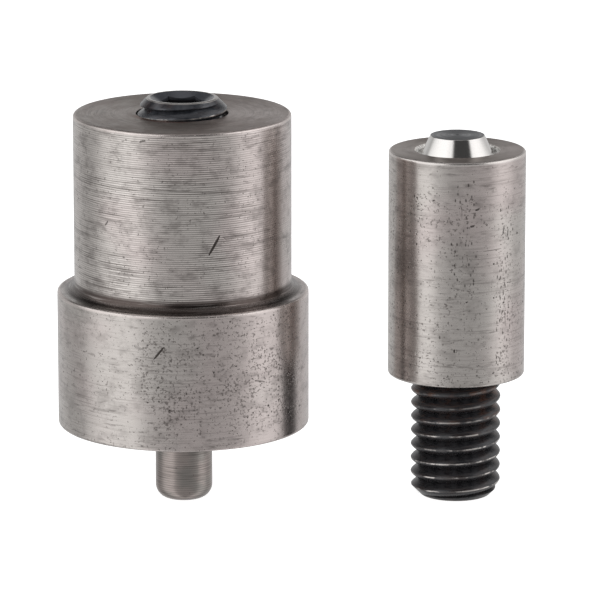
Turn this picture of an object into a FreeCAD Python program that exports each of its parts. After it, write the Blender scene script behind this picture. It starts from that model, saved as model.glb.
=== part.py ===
import FreeCAD, Part
import math
import os
import re
import Sketcher

# Driving dimensions in millimetres, angles in degrees.
# The holder die is the stepped one with the sprung pilot, the curling die is the one on a stud.
sizes = {
    "axisSpacing": 24.0,
    "shoulderWidth": 1.5,
    "shankHeight": 15.6,
    "shankEdge": 0.12,
    "shankFootRadius": 1.0,
    "collarDiameter": 22.0,
    "collarHeight": 12.0,
    "collarEdge": 0.12,
    "flangeSeatDiameter": 9.0,
    "flangeSeatDepth": 0.6,
    "pilotDiameter": 5.0,
    "pilotProjection": 6.9,
    "pilotTipRadius": 1.2,
    "pilotGuideDepth": 5.6,
    "pilotHeadHeight": 2.0,
    "pilotHeadEdge": 0.25,
    "pilotClearance": 0.03,
    "pilotHeadClearance": 0.1,
    "chamberDiameter": 6.8,
    "threadCrestDiameter": 7.9,
    "threadPitchDiameter": 7.2,
    "threadClearance": 0.05,
    "tapDrillDiameter": 6.8,
    "tapMouthEdge": 0.6,
    "drillPointAngle": 118.0,
    "holderTapDepth": 12.0,
    "springScrewLength": 8.0,
    "springScrewProud": 1.4,
    "screwRimDiameter": 6.1,
    "screwRimLand": 0.12,
    "screwPointDiameter": 5.5,
    "socketAcrossFlats": 4.0,
    "socketDepth": 4.0,
    "springWire": 0.7,
    "springWireSides": 6,
    "springClearance": 0.25,
    "springActiveCoils": 5,
    "springEndPitch": 0.73,
    "springGroundDepth": 0.2,
    "curlBodyDiameter": 12.0,
    "curlBodyHeight": 20.0,
    "curlBodyEdge": 0.12,
    "coneTopDiameter": 4.75,
    "coneHeight": 1.3,
    "coneHalfAngle": 25.0,
    "curlGrooveDiameter": 7.5,
    "studLength": 20.0,
    "studProjection": 11.0,
    "curlTapDepth": 10.0,
    "curlDrillDepth": 12.0,
    "chordAngle": 30.0,
}

doc = FreeCAD.newDocument("GrommetDie")
sheet = doc.addObject("Spreadsheet::Sheet", "Sizes")
for row, (alias, number) in enumerate(sizes.items(), start=1):
    sheet.set(f"A{row}", alias)
    sheet.set(f"B{row}", str(number))
    sheet.setAlias(f"B{row}", alias)
doc.recompute()


def linked(formula):
    # Names of sizes in a formula become references to the sheet.
    return re.sub(r"[A-Za-z]+", lambda word: "Sizes." + word[0] if word[0] in sizes else word[0], formula)


def measured(formula):
    result = sheet.evalExpression(re.sub(r"Sizes\.", "", linked(formula)))
    return float(getattr(result, "Value", result))


def origin_plane(body, role):
    return next(feature for feature in body.Origin.OriginFeatures if feature.Role == role)


def new_body(label, across, height, turned_over=False):
    # The body stands on the X axis at `across`, with its own base at `height`.
    body = doc.addObject("PartDesign::Body", label)
    body.Label = label
    turn = FreeCAD.Rotation(FreeCAD.Vector(1, 0, 0), 180 if turned_over else 0)
    body.Placement = FreeCAD.Placement(FreeCAD.Vector(0, 0, 0), turn)
    body.setExpression("Placement.Base.x", linked(across))
    body.setExpression("Placement.Base.z", linked(height))
    doc.recompute()
    return body


def new_sketch(body, name, role, height=None):
    sketch = body.newObject("Sketcher::SketchObject", name)
    sketch.AttachmentSupport = [(origin_plane(body, role), "")]
    sketch.MapMode = "FlatFace"
    if height:
        sketch.setExpression("AttachmentOffset.Base.z", linked(height))
    return sketch


def bind(sketch, constraint, formula):
    index = sketch.addConstraint(constraint)
    sketch.setExpression(f"Constraints[{index}]", linked(formula))


def rounding(centre, radius, first, last):
    # Corners of a rounded run, in chords about as close to the arc as the packed mesh would be.
    # Angles are formulas in degrees, from the way that leads outward, and positive is up.
    chords = math.ceil(abs(measured(f"{last} - {first}")) / measured("chordAngle"))
    corners = []
    for i in range(chords + 1):
        angle = f"(({first} + ({last} - {first}) * {i} / {chords}) * 1 deg)"
        corners.append((f"{centre[0]} + {radius} * cos{angle}", f"{centre[1]} + {radius} * sin{angle}"))
    return corners


def half_section(body, name, corners):
    # Corners are (radius, height) formulas, in order round the section.
    sketch = new_sketch(body, name, "XZ_Plane")
    points = [FreeCAD.Vector(measured(radius), measured(height), 0) for radius, height in corners]
    count = len(points)
    for i, start in enumerate(points):
        sketch.addGeometry(Part.LineSegment(start, points[(i + 1) % count]))
    for i in range(count):
        sketch.addConstraint(Sketcher.Constraint("Coincident", i, 2, (i + 1) % count, 1))
    for i, (radius, height) in enumerate(corners):
        if radius == "0":
            sketch.addConstraint(Sketcher.Constraint("PointOnObject", i, 1, -2))
        else:
            bind(sketch, Sketcher.Constraint("DistanceX", -1, 1, i, 1, points[i].x), radius)
        if height == "0":
            sketch.addConstraint(Sketcher.Constraint("PointOnObject", i, 1, -1))
        else:
            bind(sketch, Sketcher.Constraint("DistanceY", -1, 1, i, 1, points[i].y), height)
    return sketch


def turn_profile(body, name, corners, cut=False):
    # A lathe step: the half section is turned once round the body's axis.
    sketch = half_section(body, name + "Section", corners)
    before = body.Shape.Volume if cut else 0
    feature = body.newObject("PartDesign::Groove" if cut else "PartDesign::Revolution", name)
    feature.Profile = sketch
    feature.ReferenceAxis = (sketch, ["V_Axis"])
    feature.Angle = 360
    doc.recompute()
    if cut and body.Shape.Volume >= before:
        raise RuntimeError(f"{body.Label}: {name} removes nothing")


def round_edges(body, radius, height):
    # Names of the circular edges of one radius at one height in the body's own frame.
    tolerance = 1e-4
    shape = body.Tip.Shape
    names = []
    for number, edge in enumerate(shape.Edges, start=1):
        curve = edge.Curve
        if not isinstance(curve, Part.Circle) or abs(curve.Radius - measured(radius)) > tolerance:
            continue
        if abs(curve.Center.z - measured(height)) < tolerance:
            names.append(f"Edge{number}")
    if not names:
        raise RuntimeError(f"{body.Label}: no round edge of radius {radius} at {height}")
    return names


def break_edge(body, name, radius, height, amount):
    edges = round_edges(body, radius, height)
    before = body.Tip
    chamfer = body.newObject("PartDesign::Chamfer", name)
    chamfer.Base = (before, edges)
    chamfer.setExpression("Size", linked(amount))
    doc.recompute()


# Places shared by pieces that meet.
shankRadius = "(collarDiameter / 2 - shoulderWidth)"
holderAcross = "(collarDiameter / 2 - axisSpacing - curlBodyDiameter / 2) / 2"
curlAcross = "(collarDiameter / 2 + axisSpacing - curlBodyDiameter / 2) / 2"
holderHeight = "collarHeight + shankHeight"
pilotBore = "pilotDiameter / 2 + pilotClearance"
pilotHead = "chamberDiameter / 2 - pilotHeadClearance"
tappedBore = "threadPitchDiameter / 2 + threadClearance"
screwInnerEnd = f"{holderHeight} + springScrewProud - springScrewLength"
springBase = "pilotGuideDepth + pilotHeadHeight"


def make_holder_body():
    body = new_body("holder_body", holderAcross, "pilotProjection")
    foot = rounding(
        (f"{shankRadius} + shankFootRadius", "collarHeight + shankFootRadius"), "shankFootRadius", "270", "180",
    )
    turn_profile(body, "Blank", [
        ("0", "0"),
        ("collarDiameter / 2", "0"),
        ("collarDiameter / 2", "collarHeight"),
        *foot,
        (shankRadius, holderHeight),
        ("0", holderHeight),
    ])
    break_edge(body, "ShankEdge", shankRadius, holderHeight, "shankEdge")
    break_edge(body, "ShoulderEdge", "collarDiameter / 2", "collarHeight", "collarEdge")
    break_edge(body, "FaceEdge", "collarDiameter / 2", "0", "collarEdge")
    # The bore: a guide for the pilot, the spring chamber, and the tapped end that the screw closes.
    tapStart = f"{holderHeight} - holderTapDepth"
    turn_profile(body, "Bore", [
        ("0", "0"),
        (pilotBore, "0"),
        (pilotBore, "pilotGuideDepth"),
        ("chamberDiameter / 2", "pilotGuideDepth"),
        ("chamberDiameter / 2", tapStart),
        (tappedBore, tapStart),
        (tappedBore, holderHeight),
        ("0", holderHeight),
    ], cut=True)
    break_edge(body, "TapMouth", tappedBore, holderHeight, "tapMouthEdge")
    # The hollow seat that the grommet's flange lies in, deepest at the pilot.
    turn_profile(body, "FlangeSeat", [
        ("0", "0"),
        ("flangeSeatDiameter / 2", "0"),
        (pilotBore, "flangeSeatDepth"),
        ("0", "flangeSeatDepth"),
    ], cut=True)
    return body


def make_pilot_pin():
    body = new_body("pilot_pin", holderAcross, "0")
    headFoot = "pilotProjection + pilotGuideDepth"
    headTop = f"{headFoot} + pilotHeadHeight"
    tip = rounding(("pilotDiameter / 2 - pilotTipRadius", "pilotTipRadius"), "pilotTipRadius", "-90", "0")
    turn_profile(body, "Blank", [
        ("0", "0"),
        ("pilotDiameter / 2 - pilotTipRadius", "0"),
        *tip[1:],
        ("pilotDiameter / 2", headFoot),
        (pilotHead, headFoot),
        (pilotHead, headTop),
        ("0", headTop),
    ])
    break_edge(body, "HeadEdge", pilotHead, headTop, "pilotHeadEdge")
    return body


def make_set_screw(label, across, height, length, free, turned_over=False):
    # The socket end lies at the body's base, and the flat point at its far end.
    # The free part has the thread's crest diameter, the part in the tapped hole its pitch diameter.
    body = new_body(label, across, height, turned_over)
    crest = "threadCrestDiameter / 2"
    pitch = "threadPitchDiameter / 2"
    rim = "screwRimDiameter / 2"
    point = "screwPointDiameter / 2"
    turn_profile(body, "Blank", [
        ("0", "0"),
        (rim, "0"),
        (crest, f"{crest} - {rim}"),
        (crest, free),
        (pitch, f"{free} + {crest} - {pitch}"),
        (pitch, f"{length} - ({pitch} - {point})"),
        (point, length),
        ("0", length),
    ])
    make_hexagon_socket(body)
    dish = f"({rim} - screwRimLand)"
    turn_profile(body, "Dish", [("0", "0"), (dish, "0"), ("0", dish)], cut=True)
    corner = "socketAcrossFlats / 2"
    turn_profile(body, "SocketPoint", [
        ("0", "socketDepth"),
        (corner, "socketDepth"),
        ("0", f"socketDepth + {corner} / tan(drillPointAngle / 2 * 1 deg)"),
    ], cut=True)
    return body


def draw_polygon(sketch, sides, corners, centre):
    # A regular polygon with a flat on top, in a construction circle through its corners.
    reach = measured(corners) / 2
    first = math.pi / 2 - math.pi / sides
    around = [first + 2 * math.pi * i / sides for i in range(sides + 1)]
    points = [centre + FreeCAD.Vector(reach * math.cos(a), reach * math.sin(a), 0) for a in around]
    for start, end in zip(points, points[1:]):
        sketch.addGeometry(Part.LineSegment(start, end))
    circle = sketch.addGeometry(Part.Circle(centre, FreeCAD.Vector(0, 0, 1), reach), True)
    for i in range(sides):
        sketch.addConstraint(Sketcher.Constraint("Coincident", i, 2, (i + 1) % sides, 1))
        sketch.addConstraint(Sketcher.Constraint("PointOnObject", i, 1, circle))
    for i in range(1, sides):
        sketch.addConstraint(Sketcher.Constraint("Equal", 0, i))
    sketch.addConstraint(Sketcher.Constraint("Horizontal", 0))
    bind(sketch, Sketcher.Constraint("Diameter", circle, 2 * reach), corners)
    return circle


def make_hexagon_socket(body):
    sketch = new_sketch(body, "SocketHexagon", "XY_Plane")
    circle = draw_polygon(sketch, 6, "socketAcrossFlats / cos(30 deg)", FreeCAD.Vector(0, 0, 0))
    sketch.addConstraint(Sketcher.Constraint("Coincident", circle, 3, -1, 1))
    doc.recompute()
    before = body.Shape.Volume
    pocket = body.newObject("PartDesign::Pocket", "Socket")
    pocket.Profile = sketch
    pocket.Type = "Length"
    pocket.Reversed = True
    pocket.setExpression("Length", linked("socketDepth"))
    doc.recompute()
    if body.Shape.Volume >= before:
        raise RuntimeError(f"{body.Label}: the socket removes nothing")


def make_pilot_spring():
    # Closed and ground ends, with the open coils between them.
    height = f"pilotProjection + {springBase}"
    body = new_body("pilot_spring", holderAcross, height)
    length = f"({screwInnerEnd} - ({springBase}))"
    ringRadius = "(chamberDiameter / 2 - springClearance - springWire / 2)"
    firstHeight = "(springWire / 2 - springGroundDepth)"
    openPitch = f"(({length} - 2 * {firstHeight} - 2 * springEndPitch) / springActiveCoils)"
    openStart = f"({firstHeight} + springEndPitch)"
    lastStart = f"({openStart} + {openPitch} * springActiveCoils)"
    for name, start, pitch, turns in (
        ("LowerEnd", firstHeight, "springEndPitch", "1"),
        ("OpenCoils", openStart, openPitch, "springActiveCoils"),
        ("UpperEnd", lastStart, "springEndPitch", "1"),
    ):
        add_coils(body, name, ringRadius, start, pitch, turns)
    grind_end(body, "LowerGrind", "0", upwards=False)
    grind_end(body, "UpperGrind", length, upwards=True)
    return body


def add_coils(body, name, radius, start, pitch, turns):
    # The round wire is drawn as an octagon as wide as it is across its corners.
    sketch = new_sketch(body, name + "Section", "XZ_Plane")
    centre = FreeCAD.Vector(measured(radius), measured(start), 0)
    circle = draw_polygon(sketch, sizes["springWireSides"], "springWire", centre)
    bind(sketch, Sketcher.Constraint("DistanceX", -1, 1, circle, 3, centre.x), radius)
    bind(sketch, Sketcher.Constraint("DistanceY", -1, 1, circle, 3, centre.y), start)
    doc.recompute()
    helix = body.newObject("PartDesign::AdditiveHelix", name)
    helix.Profile = sketch
    helix.ReferenceAxis = (sketch, ["V_Axis"])
    helix.Mode = "pitch-turns-angle"
    helix.Angle = 0
    helix.Growth = 0
    helix.setExpression("Pitch", linked(pitch))
    helix.setExpression("Turns", linked(turns))
    doc.recompute()


def grind_end(body, name, height, upwards):
    # A flat cut square to the axis takes off what stands past the spring's length.
    sketch = new_sketch(body, name + "Disc", "XY_Plane", height)
    wheel = measured("chamberDiameter")
    circle = sketch.addGeometry(Part.Circle(FreeCAD.Vector(0, 0, 0), FreeCAD.Vector(0, 0, 1), wheel / 2))
    sketch.addConstraint(Sketcher.Constraint("Coincident", circle, 3, -1, 1))
    bind(sketch, Sketcher.Constraint("Diameter", circle, wheel), "chamberDiameter")
    doc.recompute()
    before = body.Shape.Volume
    pocket = body.newObject("PartDesign::Pocket", name)
    pocket.Profile = sketch
    pocket.Type = "Length"
    pocket.Reversed = upwards
    pocket.setExpression("Length", linked("springWire"))
    doc.recompute()
    if body.Shape.Volume >= before:
        raise RuntimeError(f"{body.Label}: {name} removes nothing")


def make_curling_die_body():
    # The polished cone runs tangent into the annular groove that rolls the grommet's rim.
    body = new_body("curling_die_body", curlAcross, "studProjection")
    face = "curlBodyHeight"
    slope = "(coneHalfAngle * 1 deg)"
    coneFoot = f"(coneTopDiameter / 2 + coneHeight * tan{slope})"
    grooveRadius = f"((curlGrooveDiameter / 2 - {coneFoot}) / (1 + 1 / cos{slope}))"
    grooveCentre = f"(curlGrooveDiameter / 2 - {grooveRadius})"
    groove = rounding((grooveCentre, face), grooveRadius, "0", "(coneHalfAngle - 180)")
    turn_profile(body, "Blank", [
        ("0", "0"),
        ("curlBodyDiameter / 2", "0"),
        ("curlBodyDiameter / 2", face),
        *groove,
        ("coneTopDiameter / 2", f"{face} + coneHeight"),
        ("0", f"{face} + coneHeight"),
    ])
    break_edge(body, "FaceEdge", "curlBodyDiameter / 2", face, "curlBodyEdge")
    break_edge(body, "SeatEdge", "curlBodyDiameter / 2", "0", "curlBodyEdge")
    drill = "tapDrillDiameter / 2"
    turn_profile(body, "TappedHole", [
        ("0", "0"),
        (tappedBore, "0"),
        (tappedBore, "curlTapDepth"),
        (drill, "curlTapDepth"),
        (drill, "curlDrillDepth"),
        ("0", f"curlDrillDepth + {drill} / tan(drillPointAngle / 2 * 1 deg)"),
    ], cut=True)
    break_edge(body, "TapMouth", tappedBore, "0", "tapMouthEdge")
    return body


pieces = [
    make_holder_body(),
    make_pilot_pin(),
    make_pilot_spring(),
    make_set_screw(
        "spring_set_screw", holderAcross,
        f"pilotProjection + {holderHeight} + springScrewProud", "springScrewLength", "springScrewProud",
        turned_over=True,
    ),
    make_curling_die_body(),
    make_set_screw("mounting_stud", curlAcross, "0", "studLength", "studProjection"),
]

doc.recompute()
for item in doc.Objects:
    if "Invalid" in item.State or "Error" in item.State:
        raise RuntimeError(f"{item.Label} did not build: {item.State}")
for piece in pieces:
    if piece.Shape.isNull() or not piece.Shape.isValid() or len(piece.Shape.Solids) != 1:
        raise RuntimeError(f"{piece.Label} is not one valid solid")

os.makedirs("parts", exist_ok=True)
for piece in pieces:
    piece.Shape.exportStep(f"parts/{piece.Label}.step")
    box = piece.Shape.BoundBox
    print(piece.Label, round(piece.Shape.Volume, 2), "mm3, Z", round(box.ZMin, 3), "to", round(box.ZMax, 3))
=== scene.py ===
import math

import bmesh
import bpy
import numpy as np
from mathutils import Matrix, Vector


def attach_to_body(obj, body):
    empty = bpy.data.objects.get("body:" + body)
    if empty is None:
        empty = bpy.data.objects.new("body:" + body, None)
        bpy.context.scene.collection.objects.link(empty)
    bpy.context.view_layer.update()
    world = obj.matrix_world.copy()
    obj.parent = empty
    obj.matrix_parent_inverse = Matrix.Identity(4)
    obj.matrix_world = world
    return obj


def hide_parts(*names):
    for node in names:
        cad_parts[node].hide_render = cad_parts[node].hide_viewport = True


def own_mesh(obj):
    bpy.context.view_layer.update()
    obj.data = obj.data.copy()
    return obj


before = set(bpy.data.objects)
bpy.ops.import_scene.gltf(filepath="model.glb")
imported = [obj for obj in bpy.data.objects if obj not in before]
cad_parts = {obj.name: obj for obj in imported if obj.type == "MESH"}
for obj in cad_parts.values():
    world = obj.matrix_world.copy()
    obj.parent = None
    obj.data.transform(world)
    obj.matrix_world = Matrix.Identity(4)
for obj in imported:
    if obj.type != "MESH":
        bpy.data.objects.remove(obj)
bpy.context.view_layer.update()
scene = bpy.context.scene
mm = 0.001  # lengths below are in millimetres, Blender works in metres
print("frame loaded:", ", ".join(sorted(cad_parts)))

places = {"holderX": -9.5, "curlingX": 14.5, "sides": 144}  # the dies' axes, and the facets round a piece


class Wire:  # one shader socket, so that shader maths reads as sums
    def __init__(self, tree, socket=None):
        self.tree, self.socket = tree, socket

    def node(self, kind, settings, inputs, out=0):
        made = self.tree.nodes.new(kind)
        for key, value in settings.items():
            if key == "stops":
                ramp = made.color_ramp.elements
                while len(ramp) > 1:
                    ramp.remove(ramp[-1])
                ramp[0].position, ramp[0].color = value[0][0], shade(value[0][1])
                for position, colour in value[1:]:
                    ramp.new(position).color = shade(colour)
            else:
                setattr(made, key, value)
        for key, value in inputs.items():
            if isinstance(value, Wire):
                self.tree.links.new(value.socket, made.inputs[key])
            elif value is not None:
                made.inputs[key].default_value = value
        return Wire(self.tree, made.outputs[out])

    def also(self, out):  # another output of the same node
        return Wire(self.tree, self.socket.node.outputs[out])

    def maths(self, operation, *terms):
        return self.node("ShaderNodeMath", {"operation": operation}, dict(enumerate(terms)))

    def __add__(self, other): return self.maths("ADD", self, other)
    def __sub__(self, other): return self.maths("SUBTRACT", self, other)
    def __rsub__(self, other): return self.maths("SUBTRACT", other, self)
    def __mul__(self, other): return self.maths("MULTIPLY", self, other)
    def __truediv__(self, other): return self.maths("DIVIDE", self, other)
    def __abs__(self): return self.maths("ABSOLUTE", self)
    __radd__, __rmul__ = __add__, __mul__

    def ease(self, low, high, start=0.0, end=1.0):  # start below low, end above high, smooth between
        return self.node("ShaderNodeMapRange", {"interpolation_type": "SMOOTHSTEP"},
                         {"Value": self, "From Min": low, "From Max": high, "To Min": start, "To Max": end})

    def band(self, low, high, soft):  # 1 between low and high
        return self.ease(low - soft, low) * self.ease(high, high + soft, 1.0, 0.0)


def shade(colour):
    if isinstance(colour, (int, float)):
        colour = (colour, colour, colour)
    return (*colour, 1.0)


def blend(mask, first, second):  # colours mixed by a mask
    def side(value):
        return value if isinstance(value, Wire) else shade(value)
    return mask.node("ShaderNodeMix", {"data_type": "RGBA"}, {0: mask, 6: side(first), 7: side(second)}, 2)


def dimmed(colour, factor):
    return factor.node("ShaderNodeVectorMath", {"operation": "SCALE"}, {"Vector": colour, "Scale": factor})


def vector(x, y, z):
    wires = [w for w in (x, y, z) if isinstance(w, Wire)]
    return wires[0].node("ShaderNodeCombineXYZ", {}, {"X": x, "Y": y, "Z": z})


# camera: where the photograph was taken from
view = {"azimuth": -2.9, "elevation": 13.3, "distance": 456, "aim": (0.75, 0, 17.66),
        "lens": 312, "sensor": 36}


def makeCamera(values):
    data = bpy.data.cameras.new("camera")
    data.lens, data.sensor_width = values["lens"], values["sensor"]
    data.clip_start, data.clip_end = 0.01, 10
    camera = bpy.data.objects.new("camera", data)
    scene.collection.objects.link(camera)
    turn, tilt = math.radians(values["azimuth"]), math.radians(values["elevation"])
    back = Vector((math.sin(turn) * math.cos(tilt), -math.cos(turn) * math.cos(tilt), math.sin(tilt)))
    camera.location = (Vector(values["aim"]) + back * values["distance"]) * mm
    camera.rotation_euler = (-back).to_track_quat("-Z", "Y").to_euler()
    scene.camera = camera


makeCamera(view)
scene.view_settings.view_transform = "Standard"
print("camera set")


# studio: softboxes left and right, a dim front, a dark ceiling and a white ground
studio = {
    "round": [(-180, 0.62), (-143, 0.6), (-127, 0.47), (-114, 0.48), (-103, 0.62), (-93, 0.85), (-83, 1.0),
              (-54, 1.08), (-45, 0.95), (-38, 0.72), (-29, 0.57), (-18, 0.5), (-3, 0.47), (22, 0.46), (40, 0.49),
              (53, 0.6), (64, 0.86), (77, 1.02), (94, 0.9), (108, 0.64), (133, 0.62), (180, 0.62)],  # 0 is the front
    "softboxes": [(-116, -30, 16), (56, 126, 14)],  # from, to and soft edge in degrees round the dies
    "boxTop": 1.45, "ceiling": 0.05, "zenith": 0.42,
    "groundGlow": 0.86, "paper": 0.9, "groundHalf": 3,
}


def makeStudio(values):
    world = bpy.data.worlds.new("studio")
    scene.world = world
    world.use_nodes = True
    tree = world.node_tree
    tree.nodes.clear()
    start = Wire(tree)
    direction = start.node("ShaderNodeTexCoord", {}, {}, "Generated")
    parts = direction.node("ShaderNodeSeparateXYZ", {}, {"Vector": direction})
    east, north, up = parts, parts.also("Y"), parts.also("Z")
    turn = east.maths("ARCTAN2", east, north * -1.0) * (180 / math.pi)
    height = up.maths("ARCSINE", up) * (180 / math.pi)
    stops = [((angle + 180) / 360, level) for angle, level in values["round"]]
    ring = turn.node("ShaderNodeValToRGB", {"stops": stops}, {"Fac": (turn + 180.0) / 360.0})
    left, right = values["softboxes"]
    sideways = turn.band(*left) + turn.band(*right)
    low = height.ease(12, 34, 1.0, 0.0)  # what stands behind and in front of the dies is low
    tall = height.ease(50, 62, 1.0, 0.0)  # the softboxes reach higher
    lit = low + (tall - low) * sideways
    upper = height.ease(8, 26) * sideways  # the softboxes are brighter towards their tops
    above = blend(height.ease(54, 76), values["ceiling"], values["zenith"])
    level = blend(lit, above, blend(upper * 0.6, ring, values["boxTop"]))
    seen = start.node("ShaderNodeLightPath", {}, {}, "Is Camera Ray")
    room = seen.node("ShaderNodeBackground", {}, {"Color": level, "Strength": 1.0})
    white = seen.node("ShaderNodeBackground", {}, {"Color": shade(1.0), "Strength": 1.0})
    mixed = seen.node("ShaderNodeMixShader", {}, {0: seen, 1: room, 2: white})
    tree.links.new(mixed.socket, tree.nodes.new("ShaderNodeOutputWorld").inputs["Surface"])

    ground = bpy.data.meshes.new("ground")
    half = values["groundHalf"]
    ground.from_pydata([(-half, -half, 0), (half, -half, 0), (half, half, 0), (-half, half, 0)], [], [(0, 1, 2, 3)])
    floor = bpy.data.objects.new("ground", ground)
    scene.collection.objects.link(floor)
    floor.visible_glossy = False
    paper = bpy.data.materials.new("whitePaper")
    paper.use_nodes = True
    tree = paper.node_tree
    tree.nodes.clear()
    start = Wire(tree)
    matt = start.node("ShaderNodeBsdfDiffuse", {}, {"Color": shade(values["paper"])})
    seen = start.node("ShaderNodeLightPath", {}, {}, "Is Camera Ray")
    glow = seen.node("ShaderNodeEmission", {}, {"Color": shade(1.0), "Strength": seen * values["groundGlow"]})
    both = seen.node("ShaderNodeAddShader", {}, {0: matt, 1: glow})
    tree.links.new(both.socket, tree.nodes.new("ShaderNodeOutputMaterial").inputs["Surface"])
    ground.materials.append(paper)


makeStudio(studio)
print("studio set")


# turned pieces: rings of (radius, height) joined into a skin
def softened(corners, lead=0.03, steps=4):
    rings = []
    for index, corner in enumerate(corners):
        here, radius = np.array(corner[:2], float), corner[2] if len(corner) > 2 else 0
        if not radius:
            rings.append(tuple(here))
            continue
        before = np.array(corners[index - 1][:2], float) - here
        after = np.array(corners[(index + 1) % len(corners)][:2], float) - here
        before, after = before / np.linalg.norm(before), after / np.linalg.norm(after)
        half = math.acos(np.clip(before @ after, -1, 1)) / 2
        trim = radius / math.tan(half)
        centre = here + (before + after) / np.linalg.norm(before + after) * radius / math.sin(half)
        first, last = here + before * trim - centre, here + after * trim - centre
        rings.append(tuple(here + before * (trim + lead)))
        sweep = math.pi - 2 * half
        for step in range(steps + 1):
            share = step / steps
            spoke = (first * math.sin((1 - share) * sweep) + last * math.sin(share * sweep)) / math.sin(sweep)
            rings.append(tuple(centre + spoke))
        rings.append(tuple(here + after * (trim + lead)))
    return rings


def arcRings(centre, radius, first, last, steps=8):
    angles = np.radians(np.linspace(first, last, steps + 1))
    return [(centre[0] + radius * math.cos(a), centre[1] + radius * math.sin(a)) for a in angles]


def skin(name, sheets, axisX, smooth):  # smooth is the angle in degrees above which an edge stays sharp
    mesh = bpy.data.meshes.new(name)
    verts, faces = [], []
    for radii, heights, shift in sheets:
        rows, sides = radii.shape
        base = len(verts)
        around = np.linspace(0, 2 * math.pi, sides, endpoint=False)
        grid = np.stack([axisX + radii * np.cos(around), radii * np.sin(around), heights], -1) * mm
        verts.extend(map(tuple, grid.reshape(-1, 3)))
        for row in range(rows - 1):
            for side in range(sides):
                nextSide = (side + 1) % sides
                carry = shift if nextSide == 0 else 0
                if row + 1 + carry >= rows:
                    continue
                quad = (row * sides + side, (row + carry) * sides + nextSide,
                        (row + 1 + carry) * sides + nextSide, (row + 1) * sides + side)
                faces.append(tuple(base + q for q in quad))
    mesh.from_pydata(verts, [], faces)
    work = bmesh.new()
    work.from_mesh(mesh)
    bmesh.ops.remove_doubles(work, verts=work.verts, dist=2e-7)
    bmesh.ops.dissolve_degenerate(work, edges=work.edges, dist=1e-7)
    bmesh.ops.recalc_face_normals(work, faces=work.faces)
    work.to_mesh(mesh)
    work.free()
    mesh.shade_smooth()
    mesh.set_sharp_from_angle(angle=math.radians(smooth))
    piece = bpy.data.objects.new(name, mesh)
    scene.collection.objects.link(piece)
    return piece


def ringSheet(rings, sides=places["sides"]):
    radii = np.array([np.broadcast_to(np.asarray(r, float), sides) for r, _ in rings])
    heights = np.array([np.broadcast_to(np.asarray(z, float), sides) for _, z in rings])
    return radii, heights, 0


thread = {"pitch": 1.25, "crest": 3.95, "root": 3.26, "round": 1.6, "play": 0.04,
          "form": [0.0, 0.05, 0.1, 0.15, 0.21, 0.28, 0.35, 0.43, 0.5]}  # share of the pitch from the crest


def threadSheet(low, high, phase, limit, inside=False, sides=places["sides"]):
    pitch, crest, root = thread["pitch"], thread["crest"], thread["root"]
    offsets = [*thread["form"], *[1 - f for f in thread["form"][-2:0:-1]]]
    depth = crest - root

    def radiusAt(share):  # rolled threads have round crests and sharp roots
        return crest - depth * (min(share, 1 - share) * 2) ** thread["round"]

    first = math.floor((low - phase) / pitch) - 2
    last = math.ceil((high - phase) / pitch) + 1
    around = np.arange(sides) / sides
    radii, heights = [], []
    for turn in range(first, last + 1):
        for offset in offsets:
            helix = phase + (turn + offset + around) * pitch
            z = np.clip(helix, low, high)
            r = np.full(sides, radiusAt(offset) + (thread["play"] if inside else 0))
            edge = np.array([limit(h) for h in z])
            r = np.maximum(r, edge) if inside else np.minimum(r, edge)
            radii.append(np.where((helix < low) | (helix > high), edge, r))  # past the ends it lies on the edge
            heights.append(z)
    return np.array(radii), np.array(heights), len(offsets)


# set screws: M8, hexagon socket at one end, flat point at the other
screw = {"rim": 3.05, "land": 0.24, "rimRound": 0.16, "landRound": 0.08, "dishSlope": 0.62,
         "socket": 2.0, "socketDepth": 4.0, "drillAngle": 59, "point": 2.75,
         "springPhase": 34.95, "studPhase": 0.165,  # heights of a thread crest on the axis' right
         "springEnds": (27.9, 35.9), "studEnds": (0.0, 20.0)}


def hexagonRadius(across, sides=places["sides"]):
    around = np.degrees(np.arange(sides) / sides * 2 * math.pi) % 60
    return across / np.cos(np.radians(around - 30))


def socketRings(end, towards):  # from the rim in to the socket's floor; towards is -1 for a socket that opens upwards
    across = hexagonRadius(screw["socket"])
    dish, slope = screw["rim"] - screw["land"], screw["dishSlope"]
    mouth = end + towards * (dish - across) * slope
    floor = end + towards * screw["socketDepth"]
    point = floor + towards * screw["socket"] / math.tan(math.radians(screw["drillAngle"]))
    lip = softened([(screw["rim"] + 1, 1), (screw["rim"], 0, screw["rimRound"]), (dish, 0, screw["landRound"]),
                    (dish - 1, slope)])[1:-1]
    walls = [(across, mouth), (across, mouth + towards * 0.05), (across, floor)]
    drill = [(screw["socket"] * 0.98, floor + towards * 0.02), (0, point)]
    return [(radius, end + towards * depth) for radius, depth in lip] + walls + drill


def makeScrew(name, axisX, bottom, top, phase, socketUp):
    rim, pointR = screw["rim"], screw["point"]
    def limit(z):
        fromSocket, fromPoint = (top - z, z - bottom) if socketUp else (z - bottom, top - z)
        return min(rim + fromSocket, pointR + fromPoint)
    socketEnd, pointEnd = (top, bottom) if socketUp else (bottom, top)
    rings = socketRings(socketEnd, -1 if socketUp else 1)
    span = (bottom, rings[0][1]) if socketUp else (rings[0][1], top)
    sheets = [threadSheet(*span, phase, limit), ringSheet(rings)]
    sheets.append(ringSheet([(pointR, pointEnd), (pointR * 0.6, pointEnd), (0, pointEnd)]))
    return skin(name, sheets, axisX, 40)


# holder die
holder = {"top": 34.5, "shank": 9.5, "foot": 1.0, "shoulder": 18.9, "collar": 11.0, "face": 6.9, "edge": 0.25,
          "seat": 4.5, "seatDepth": 0.6, "guide": 2.53, "chamber": 3.4, "chamberFloor": 12.5,
          "tapFloor": 22.5, "mouth": 4.02, "mouthDepth": 0.4}


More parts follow.
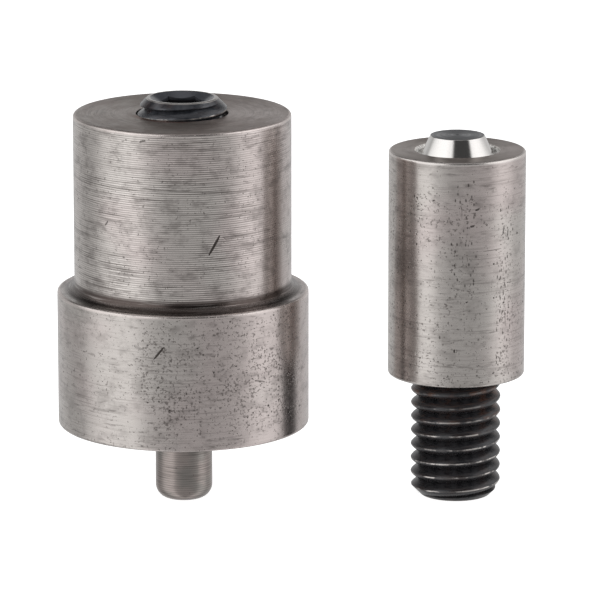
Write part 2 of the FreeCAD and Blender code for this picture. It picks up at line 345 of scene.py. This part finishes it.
def makeHolder(v):
    foot = arcRings((v["shank"] + v["foot"], v["shoulder"] + v["foot"]), v["foot"], 180, 270, 10)
    upper = softened([(v["mouth"], v["top"] - 1), (v["mouth"], v["top"], 0.05), (v["shank"], v["top"], v["edge"]),
                      (v["shank"], v["shoulder"] + 2)])[1:-1]
    lower = softened([(v["shank"] + 1.0, v["shoulder"]), (v["collar"], v["shoulder"], v["edge"]),
                      (v["collar"], v["face"], v["edge"]), (v["seat"], v["face"], 0.06),
                      (v["guide"], v["face"] + v["seatDepth"], 0.08), (v["guide"], v["face"] + 2)])[1:-1]
    footEnd = [(v["shank"], v["shoulder"] + v["foot"] + 0.03)]  # keeps the foot's shading off the shank
    bore = [(v["guide"], v["chamberFloor"]), (v["chamber"], v["chamberFloor"]), (v["chamber"], v["tapFloor"])]
    tapTop = v["top"] - v["mouthDepth"]

    def mouthLimit(z):  # the thread runs out below the plain mouth
        return max(v["chamber"] - 0.04, v["mouth"] - (tapTop - z) / 3)
    tapped = threadSheet(v["tapFloor"], tapTop, screw["springPhase"], mouthLimit, inside=True)
    rings = [(v["mouth"], tapTop)] + upper + footEnd + foot + lower + bore + [
        (mouthLimit(v["tapFloor"]), v["tapFloor"])]
    return skin("holderDie", [ringSheet(rings), tapped], places["holderX"], 35)


# curling die
curling = {"top": 31.0, "body": 6.0, "foot": 11.0, "edge": 0.22, "cone": 2.375, "coneTop": 32.3, "coneAngle": 25,
           "groove": 0.366, "grooveMid": 3.384, "mouth": 4.25, "bore": 3.4, "tapFloor": 21.0, "drillFloor": 23.0}


def makeCurlingDie(v):
    centre = (v["grooveMid"], v["top"])
    groove = arcRings(centre, v["groove"], v["coneAngle"] - 180, 0, 14)
    cone = softened([(0.5, v["coneTop"]), (v["cone"], v["coneTop"], 0.07), groove[0]])[1:-1]
    body = softened([groove[-2], (groove[-1][0] + 0.01, v["top"], 0.02), (v["body"], v["top"], v["edge"]),
                     (v["body"], v["foot"], v["edge"]), (v["mouth"], v["foot"], 0.05),
                     (v["mouth"] - 0.3, v["foot"] + 0.3)])[1:-1]
    tapFoot = v["foot"] + 0.05

    def mouthLimit(z):
        return max(v["bore"] - 0.04, v["mouth"] - (z - v["foot"]))
    tapped = threadSheet(tapFoot, v["tapFloor"], screw["studPhase"], mouthLimit, inside=True)
    flat = [(0, v["coneTop"]), (1.2, v["coneTop"])]
    rings = flat + cone + groove[:-1] + body + [(mouthLimit(tapFoot), tapFoot)]
    drill = [(mouthLimit(v["tapFloor"]), v["tapFloor"]), (v["bore"], v["tapFloor"]), (v["bore"], v["drillFloor"]),
             (0, v["drillFloor"] + v["bore"] / math.tan(math.radians(screw["drillAngle"])))]
    return skin("curlingDie", [ringSheet(rings), tapped, ringSheet(drill)], places["curlingX"], 35)


# pilot pin and its spring
pilot = {"radius": 2.5, "tip": 1.2, "head": 3.3, "headFoot": 12.5, "top": 14.5}


def makePilot(v):
    tip = arcRings((v["radius"] - v["tip"], v["tip"]), v["tip"], -90, 0, 10)
    body = softened([(v["radius"], 2), (v["radius"], v["headFoot"], 0.1), (v["head"], v["headFoot"], 0.1),
                     (v["head"], v["top"], 0.25), (1, v["top"])])[1:-1]
    rings = [(0, 0), (v["radius"] - v["tip"] - 0.03, 0)] + tip + [(v["radius"], v["tip"] + 0.03)]
    rings += body + [(0, v["top"])]
    return skin("pilotPin", [ringSheet(rings)], places["holderX"], 35)


spring = {"coil": 2.8, "wire": 0.35, "low": 14.5, "high": 27.9, "endPitch": 0.73, "ground": 0.2, "active": 5,
          "perTurn": 60, "around": 12, "keep": 0.552}  # keep is the share of its height left at the pilot's limit


def makeSpring(v):
    start, end = v["low"] + v["wire"] - v["ground"], v["high"] - v["wire"] + v["ground"]
    pitch = (end - start - 2 * v["endPitch"]) / v["active"]
    closed = start + v["endPitch"]  # one closed turn at either end
    turns = np.arange(0, (v["active"] + 2) * v["perTurn"] + 1) / v["perTurn"]
    heights = np.interp(turns, [0, 1, 1 + v["active"], 2 + v["active"]],
                        [start, closed, closed + pitch * v["active"], end])
    verts, faces, around = [], [], v["around"]
    for index, height in enumerate(heights):
        angle = index / v["perTurn"] * 2 * math.pi
        for side in range(around):
            spoke = side / around * 2 * math.pi
            radius = v["coil"] + v["wire"] * math.cos(spoke)
            z = min(max(height + v["wire"] * math.sin(spoke), v["low"]), v["high"])
            verts.append(((places["holderX"] + radius * math.cos(angle)) * mm, radius * math.sin(angle) * mm, z * mm))
    count = len(heights)
    for index in range(count - 1):
        for side in range(around):
            a, b = index * around + side, index * around + (side + 1) % around
            faces.append((a, b, b + around, a + around))
    faces.append(tuple(range(around)))
    faces.append(tuple((count - 1) * around + side for side in reversed(range(around))))
    mesh = bpy.data.meshes.new("pilotSpring")
    mesh.from_pydata(verts, [], faces)
    mesh.shade_smooth()
    mesh.set_sharp_from_angle(angle=math.radians(40))
    piece = bpy.data.objects.new("pilotSpring", mesh)
    scene.collection.objects.link(piece)
    return piece


# finishes
def finish(name, piece, build):
    material = bpy.data.materials.new(name)
    material.use_nodes = True
    tree = material.node_tree
    tree.nodes.clear()
    surface = build(Wire(tree))
    tree.links.new(surface.socket, tree.nodes.new("ShaderNodeOutputMaterial").inputs["Surface"])
    piece.data.materials.append(material)


class Spot:  # where a point lies on a turned piece, in millimetres from the die's axis
    def __init__(self, start, axisX):
        where = start.node("ShaderNodeTexCoord", {}, {}, "Object")
        parts = where.node("ShaderNodeSeparateXYZ", {}, {"Vector": where})
        self.x, self.y, self.z = parts * 1000.0 - axisX, parts.also("Y") * 1000.0, parts.also("Z") * 1000.0
        self.radius = where.maths("SQRT", self.x * self.x + self.y * self.y)
        self.turn = where.maths("ARCTAN2", self.x, self.y * -1.0)  # 0 is the front, positive to the right
        facing = where.node("ShaderNodeSeparateXYZ", {}, {"Vector": where.also("Normal")}, "Z")
        self.face = abs(facing).ease(0.6, 0.8)  # 1 on the end faces
        self.along = self.z + (self.radius - self.z) * self.face  # what the tool's feed follows

    def point(self, around, along, shift=0.0):
        return vector(self.x * around + shift, self.y * around, self.along * along)


def noise(point, detail=2.0, rough=0.5):
    return point.node("ShaderNodeTexNoise", {}, {"Vector": point, "Scale": 1.0, "Detail": detail, "Roughness": rough})


def pits(point, share, size):  # small round holes in a share of the cells
    cells = point.node("ShaderNodeTexVoronoi", {}, {"Vector": point, "Scale": 1.0}, "Distance")
    chance = point.node("ShaderNodeSeparateXYZ", {}, {"Vector": cells.also("Color")})
    return cells.ease(size * 0.4, size, 1.0, 0.0) * (share - chance).ease(0.0, 0.05)


# short dents along lines, each from a turn in degrees and a height to another, then its width and depth
def nicks(spot, radius, lines):
    run, total = spot.turn * radius, None
    for fromTurn, fromZ, toTurn, toZ, wide, deep in lines:
        startRun = math.radians(fromTurn) * radius
        stepRun, stepZ = math.radians(toTurn) * radius - startRun, toZ - fromZ
        length = stepRun ** 2 + stepZ ** 2
        share = (run - startRun) * (stepRun / length) + (spot.z - fromZ) * (stepZ / length)
        share = share.node("ShaderNodeClamp", {}, {"Value": share})
        offRun, offZ = run - startRun - share * stepRun, spot.z - fromZ - share * stepZ
        middle = share.maths("POWER", abs(share * 2.0 - 1.0), 4.0)
        gap = share.maths("SQRT", offRun * offRun + offZ * offZ) / (1.0 - middle * 0.65)
        mask = gap.ease(wide * 0.35, wide, deep, 0.0)
        total = mask if total is None else mask.maths("MAXIMUM", mask, total)
    return total


def metal(start, colour, rough, height, anisotropy):
    bump = start.node("ShaderNodeBump", {}, {"Strength": 1.0, "Distance": mm, "Height": height})
    return start.node("ShaderNodeBsdfPrincipled", {}, {
        "Base Color": colour, "Metallic": 1.0, "Roughness": rough, "Normal": bump,
        "Anisotropic": anisotropy, "Anisotropic Rotation": 0.25})


# bare turned steel, and the tool's feed per turn
turned = {"warm": (0.62, 0.55, 0.532), "cool": (0.606, 0.568, 0.54), "bright": (0.78, 0.735, 0.71),
          "dirt": (0.13, 0.112, 0.105), "rust": (0.3, 0.235, 0.205), "hole": (0.06, 0.052, 0.048),
          "rough": 0.27, "feed": 0.1858}


# colour, roughness and height that both dies share
def turnedSteel(spot, seed, lineDepth, feedDepth, mottled, pitShare, pitting, warmth):
    torn = noise(spot.point(0.2, 7.5, seed), 2.0, 0.65)  # lines that come and go round the piece
    patch = noise(spot.point(0.16, 0.22, seed + 7)).ease(0.36, 0.6)
    lines = (torn - 0.5) * 2.2 * (0.65 + patch * 0.6)
    tint = (noise(spot.point(0.13, 0.13, seed + 3), 1.0) + spot.x / spot.radius * 0.2 + warmth).ease(0.36, 0.64)
    colour = blend(tint, turned["cool"], turned["warm"])
    colour = blend(lines.ease(-0.6, -0.05, lineDepth * 0.5, 0.0), colour, turned["bright"])
    colour = blend(lines.ease(0.0, 0.6) * lineDepth, colour, turned["dirt"])
    if feedDepth is not None:  # the tool's feed shows as fine even lines
        feed = spot.along * (2 * math.pi / turned["feed"]) + noise(spot.point(0.08, 0.2, seed)) * 2.0
        colour = dimmed(colour, 1.0 + feed.maths("SINE", feed) * feedDepth * (0.7 + patch * 0.5))
    mottle = noise(spot.point(0.55, 0.8, seed + 5), 4.0, 0.65)
    colour = blend(mottle.ease(0.46, 0.7) * mottled, colour, turned["dirt"])
    smear = noise(spot.point(0.6, 3.0, seed + 9), 3.0, 0.6).ease(0.56, 0.74)
    colour = blend(smear * 0.5, colour, turned["dirt"])
    ragged = noise(spot.point(5.0, 5.0, seed), 1.0) * 0.35
    holes = pits(vector(spot.x * 2.1 + ragged, spot.y * 2.1, spot.along * 2.6 + ragged), pitShare * 0.6, 0.3)
    specks = pits(vector(spot.x * 4.6 + ragged, spot.y * 4.6, spot.along * 5.6 - ragged), pitShare, 0.34)
    holes = holes.maths("MAXIMUM", holes * 0.85, specks * 0.8)
    eaten = (noise(spot.point(4.0, 4.4, seed + 13), 2.0, 0.6) + pitting * 0.22).ease(0.68, 0.78)
    colour = blend(eaten * 0.7, colour, turned["dirt"])
    colour = blend(holes, colour, turned["hole"])
    rough = turned["rough"] + (mottle - 0.5) * 0.15 + holes * 0.2
    height = lines * -0.002 - holes * 0.02 - eaten * 0.004
    return colour, rough, height


holderMarks = {
    "shankNicks": [(17.9, 25.54, 12.0, 23.88, 0.19, 1.0), (-44.1, 26.45, -46.2, 26.02, 0.1, 0.6),
                   (19.5, 25.4, 21.5, 25.1, 0.08, 0.4), (-24, 33.7, -21, 33.85, 0.12, 0.7),
                   (12.4, 31.4, 16.9, 30.5, 0.3, 0.2)],
    "shankLines": [(-52, 22.72, -27, 22.79, 0.08, 0.7), (-48, 22.28, -22, 22.24, 0.08, 0.6),
                   (-50, 22.5, -35, 22.5, 0.07, 0.5), (-24, 29.72, 31, 29.22, 0.08, 0.6),
                   (-20, 29.35, 18, 29.2, 0.07, 0.5), (-5, 27.5, 25, 27.4, 0.08, 0.4)],
    "collarNicks": [(-10.3, 16.19, -14.7, 15.13, 0.14, 1.0), (32.5, 12.76, 37.6, 12.52, 0.1, 0.5),
                    (-24, 16.2, -20, 15.9, 0.2, 0.3)],
}
# holder colours: ringRust and nick are the steel's own; foot and bore are painted shade, rim is a painted highlight
# on worn edges
holderColoursAndPaintedLight = {"foot": (0.085, 0.066, 0.06), "ringRust": (0.2, 0.08, 0.05), "bore": (0.05, 0.042, 0.038),
                "rim": (0.8, 0.72, 0.69), "nick": (0.06, 0.05, 0.046)}


def holderSteel(start):
    spot = Spot(start, places["holderX"])
    collar, side = spot.radius.ease(10.6, 10.8), 1.0 - spot.face
    dense = collar * spot.z.ease(17.8, 18.6, 1.0, 0.35) * spot.z.ease(7.4, 9.6, 0.3, 1.0)
    dense = dense * spot.turn.band(-0.2, 0.9, 0.35)  # more pits on the collar's front right
    cluster = noise(spot.point(0.3, 0.35, 4.0)).ease(0.42, 0.58)
    share = cluster * 0.1 + dense * 0.22
    fading = (spot.x / holder["shank"]).ease(0.25, 0.8)  # the lines are fainter on the right
    feedDepth = (1.0 - collar) * (0.5 - spot.face * 0.4) * (1.0 - abs(spot.x) / holder["shank"] * 0.75)
    feedDepth = feedDepth * (1.0 - fading * 0.35)
    lineDepth, mottled = 0.75 - collar * 0.35 - fading * 0.3, 0.45 - collar * 0.15
    pitting = 0.22 + cluster * 0.12 + dense * (0.22 + cluster * 0.16)
    colour, rough, height = turnedSteel(spot, 3.0, lineDepth, feedDepth, mottled, share, pitting, collar * 0.08)
    top = spot.z.ease(34.3, 34.4) * spot.face
    brown = noise(spot.point(0.5, 1.2, 12.0), 3.0, 0.6).ease(0.3, 0.7)
    colour = blend(top * (0.3 + brown * 0.4), colour, turned["rust"])
    # painted shade: the concave corner at the shank's foot is darkened, fading out across the shoulder and broken by
    # lighter streaks where gleam is high
    foot = spot.z.ease(19.6, 20.1, 1.0, 0.0) * spot.z.ease(18.7, 18.85)
    foot = foot * spot.radius.ease(10.05, 10.6, 1.0, 0.12)
    gleam = noise(spot.point(0.22, 8.0, 31.0), 2.0).ease(0.54, 0.64)
    colour = blend(foot * (0.95 - gleam * 0.4), colour, holderColoursAndPaintedLight["foot"])
    ringRust = spot.radius.ease(4.1, 4.9, 1.0, 0.0) * spot.z.ease(33.5, 34.4) * spot.turn.band(-1.2, -0.1, 0.3)
    colour = blend(ringRust * 0.75, colour, holderColoursAndPaintedLight["ringRust"])
    # painted shade: the inside of the tapped bore is darkened
    inside = spot.radius.ease(4.02, 4.08, 1.0, 0.0) * spot.z.ease(13.0, 14.0)
    colour = blend(inside * 0.9, colour, holderColoursAndPaintedLight["bore"])
    # painted highlight on the worn rounded rims of the shank top and the collar: a lighter colour, stronger where the
    # brown noise is high
    shankRimHighlight = spot.radius.ease(9.22, 9.3) * spot.z.ease(34.2, 34.28)
    rim = shankRimHighlight + spot.radius.ease(10.72, 10.8) * spot.z.band(18.62, 18.95, 0.04)
    colour = blend(rim * (0.3 + brown * 0.5), colour, holderColoursAndPaintedLight["rim"])
    dents = nicks(spot, holder["shank"], holderMarks["shankNicks"]) * (1.0 - collar)
    dents = dents.maths("MAXIMUM", dents, nicks(spot, holder["collar"], holderMarks["collarNicks"]) * collar) * side
    scores = nicks(spot, holder["shank"], holderMarks["shankLines"]) * (1.0 - collar)
    colour = blend(scores * 0.9, colour, turned["dirt"])
    colour = blend(dents * 0.95, colour, holderColoursAndPaintedLight["nick"])
    return metal(start, colour, rough + dents * 0.2 + top * 0.14, height - dents * 0.06 - scores * 0.01, 0.6)


curlingMarks = {
    "nicks": [(10.5, 26.83, 14.3, 26.95, 0.13, 0.8), (6.2, 25.4, 10.2, 25.47, 0.13, 0.8),
              (55.0, 24.23, 57.0, 24.2, 0.16, 0.8), (-6.0, 14.49, -6.1, 14.2, 0.14, 0.9),
              (38.5, 25.2, 37.0, 24.4, 0.09, 0.6), (43.2, 24.8, 41.8, 24.1, 0.09, 0.5)],
    "scratches": [(17.7, 23.14, 35.2, 23.2, 0.07, 0.8), (24.0, 24.4, 32.0, 24.5, 0.06, 0.4),
                  (40.2, 17.4, 41.0, 16.2, 0.09, 0.6), (-0.9, 27.4, -0.5, 26.0, 0.07, 0.4)],
}
# curling die colours: rim is a painted highlight on the worn top edge; the others are the steel's own tones
curlingColoursAndPaintedHighlight = {"rim": (0.85, 0.8, 0.77), "polish": (0.82, 0.8, 0.78), "centre": (0.02, 0.02, 0.02),
                 "grooveLight": (0.97, 0.95, 0.92), "grooveDark": (0.4, 0.38, 0.36),
                 "flatDark": (0.07, 0.074, 0.086), "flatLight": (0.25, 0.252, 0.265)}


def curlingSteel(start):
    spot = Spot(start, places["curlingX"])
    side = 1.0 - spot.face
    share = noise(spot.point(0.35, 0.2, 2.0)).ease(0.38, 0.68) * 0.3 * spot.z.ease(27.5, 30.0, 1.0, 0.1) + 0.03
    rightRun = spot.turn.band(0.62, 0.78, 0.12) * spot.z.band(13.5, 26.0, 2.5)  # two runs of pits down the side
    streaky = rightRun + spot.turn.band(-0.08, 0.12, 0.15) * spot.z.band(20.5, 28.0, 2.0) * 0.7
    cluster = noise(spot.point(0.4, 0.25, 8.0)).ease(0.42, 0.58)
    pitting = (0.2 + cluster * 0.3 + streaky * 0.25) * spot.z.ease(27.0, 30.0, 1.0, 0.3)
    colour, rough, height = turnedSteel(spot, 11.0, 0.35, None, 0.3, share, pitting, -0.12)
    runs = pits(spot.point(4.2, 1.9, 5.0), streaky * 0.6 + share * 0.3, 0.4) * side
    colour = blend(runs * 0.8, colour, turned["hole"])
    annulus = spot.z.ease(30.9, 30.95) * spot.radius.ease(3.7, 3.8) * spot.face
    colour = blend(annulus * 0.6, colour, turned["rust"])
    # painted highlight on the worn rounded top edge of the curling die
    rim = spot.radius.ease(5.76, 5.82) * spot.z.ease(30.7, 30.78)
    colour = blend(rim * 0.7, colour, curlingColoursAndPaintedHighlight["rim"])
    polished = spot.radius.ease(3.72, 3.78, 1.0, 0.0) * spot.z.ease(30.5, 30.6)
    colour = blend(polished * 0.9, colour, curlingColoursAndPaintedHighlight["polish"])
    groove = spot.radius.ease(3.05, 3.15) * polished
    speckled = noise(spot.point(4.0, 4.0, 17.0), 2.0, 0.7).ease(0.5, 0.6)
    colour = blend(groove, colour, blend(speckled, curlingColoursAndPaintedHighlight["grooveLight"], curlingColoursAndPaintedHighlight["grooveDark"]))
    flat = spot.radius.ease(2.32, 2.36, 1.0, 0.0) * spot.z.ease(32.2, 32.25)
    rings = noise(spot.point(0.2, 5.0, 1.0), 2.0).ease(0.35, 0.65)
    colour = blend(flat * 0.95, colour, blend(rings, curlingColoursAndPaintedHighlight["flatDark"], curlingColoursAndPaintedHighlight["flatLight"]))
    colour = blend(spot.radius.ease(0.1, 0.2, 1.0, 0.0) * flat, colour, curlingColoursAndPaintedHighlight["centre"])
    dents = nicks(spot, curling["body"], curlingMarks["nicks"]) * side
    scores = nicks(spot, curling["body"], curlingMarks["scratches"]) * side
    colour = blend(scores * 0.8, colour, turned["dirt"])
    colour = blend(dents, colour, turned["hole"])
    rough = rough * (1.0 - (polished - groove) * 0.5) + dents * 0.2 + groove * 0.15 + flat * 0.25 + annulus * 0.12
    return metal(start, colour, rough, (height - dents * 0.04 - scores * 0.01) * (1.0 - polished * 0.8), 0.6)


pilotShades = {"warm": (0.35, 0.305, 0.287), "cool": (0.285, 0.264, 0.248), "pit": (0.08, 0.07, 0.065),
               "feed": 0.2, "feedDepth": 0.13, "rough": 0.145}


def pilotSteel(start):
    spot = Spot(start, places["holderX"])
    lines = noise(spot.point(0.3, 7.5, 2.0), 2.0, 0.6)
    cloud = noise(spot.point(0.5, 0.5, 6.0), 3.0)
    colour = blend(cloud.ease(0.4, 0.6), pilotShades["warm"], pilotShades["cool"])
    colour = blend(lines.ease(0.5, 0.68) * 0.5, colour, turned["dirt"])
    feed = spot.z * (2 * math.pi / pilotShades["feed"])
    colour = dimmed(colour, 1.0 + feed.maths("SINE", feed) * pilotShades["feedDepth"])
    colour = blend(pits(spot.point(2.6, 2.6, 1.0), 0.12, 0.2) * 0.6, colour, pilotShades["pit"])
    return metal(start, colour, pilotShades["rough"] + cloud * 0.08, lines * -0.003, 0.5)


wireShades = {"dark": (0.34, 0.34, 0.35), "light": (0.46, 0.46, 0.47), "rough": 0.25}


def springWire(start):
    spot = Spot(start, places["holderX"])
    drawn = noise(spot.point(1.4, 1.4, 6.0), 3.0)
    colour = blend(drawn.ease(0.3, 0.7), wireShades["dark"], wireShades["light"])
    return metal(start, colour, wireShades["rough"] + drawn * 0.15, drawn * 0.003, 0.0)


# black oxide: rust and dull crests grow over the rise from low to high
# socket is painted shade for the inside of the hexagon socket; the other colours are the oxide's own
blackOxide = {"crest": (0.68, 0.64, 0.61), "rust": (0.16, 0.07, 0.04), "dish": (0.13, 0.135, 0.155),
              "socket": (0.014, 0.014, 0.016)}
springScrewBlack = {"seed": 5.0, "deep": (0.034, 0.037, 0.046), "worn": (0.095, 0.1, 0.113), "gloss": 0.13,
                    "rise": (34.0, 40.0), "socketEnd": 35.9}
studBlack = {"seed": 8.0, "deep": (0.023, 0.023, 0.027), "worn": (0.06, 0.059, 0.064), "gloss": 0.22,
             "rise": (5.0, 10.0), "socketEnd": 0.0}


def blackSteel(axisX, v):
    def build(start):
        spot, seed = Spot(start, axisX), v["seed"]
        cloud = noise(spot.point(1.2, 1.4, seed), 4.0, 0.6)
        colour = blend(cloud.ease(0.3, 0.7), v["deep"], v["worn"])
        upper = spot.z.ease(*v["rise"])
        rust = noise(spot.point(0.7, 1.1, seed + 4), 3.0).ease(0.45, 0.66) * (0.1 + upper * 0.5)
        colour = blend(rust, colour, blackOxide["rust"])
        spark = noise(spot.point(0.9, 1.2, seed + 2), 3.0, 0.6).ease(0.44, 0.58)
        bare = spot.radius.ease(3.92, 3.948) * (0.12 + spark * 0.88) * (1.0 - upper * 0.75)
        fromEnd = abs(spot.z - v["socketEnd"])
        # the rim land at the socket end is given the crest's bare colour: worn bare metal, partly a painted highlight
        land = fromEnd.ease(0.05, 0.12, 1.0, 0.0) * spot.radius.ease(2.76, 2.82)
        bare = bare.maths("MAXIMUM", bare, land * 0.6)
        dish = spot.radius.ease(2.7, 2.8, 1.0, 0.0) * fromEnd.ease(0.6, 0.9, 1.0, 0.0)
        colour = blend(bare, blend(dish * 0.8, colour, blackOxide["dish"]), blackOxide["crest"])
        # painted shade: the hexagon socket is darkened almost to black inside
        paintedSocketShade = spot.radius.ease(2.32, 2.4, 1.0, 0.0) * fromEnd.ease(0.45, 0.8)
        paintedSocketShade = paintedSocketShade * fromEnd.ease(5.5, 6.0, 1.0, 0.0)
        colour = blend(paintedSocketShade * 0.9, colour, blackOxide["socket"])
        bump = start.node("ShaderNodeBump", {}, {"Strength": 0.6, "Distance": mm, "Height": cloud * 0.012})
        return start.node("ShaderNodeBsdfPrincipled", {}, {
            "Base Color": colour, "Metallic": 0.35 + bare * 0.6, "Normal": bump,
            "Roughness": v["gloss"] + cloud * 0.12})
    return build


def attach(piece, node, body):
    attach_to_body(piece, body)
    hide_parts(node)


holderDie = makeHolder(holder)
finish("holderSteel", holderDie, holderSteel)
attach(holderDie, "holder_body", "holder")
print("holder die made")

curlingDie = makeCurlingDie(curling)
finish("curlingSteel", curlingDie, curlingSteel)
attach(curlingDie, "curling_die_body", "curling_die")
print("curling die made")

springScrew = makeScrew("springScrew", places["holderX"], *screw["springEnds"], screw["springPhase"], True)
finish("springScrewBlack", springScrew, blackSteel(places["holderX"], springScrewBlack))
attach(springScrew, "spring_set_screw", "holder")
stud = makeScrew("mountingStud", places["curlingX"], *screw["studEnds"], screw["studPhase"], False)
finish("studBlack", stud, blackSteel(places["curlingX"], studBlack))
attach(stud, "mounting_stud", "curling_die")
print("set screws made")

pilotPin = makePilot(pilot)
finish("pilotSteel", pilotPin, pilotSteel)
attach(pilotPin, "pilot_pin", "pilot")
coil = makeSpring(spring)
finish("springWire", coil, springWire)
attach(coil, "pilot_spring", "holder")
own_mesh(coil)
print("pilot and spring made")
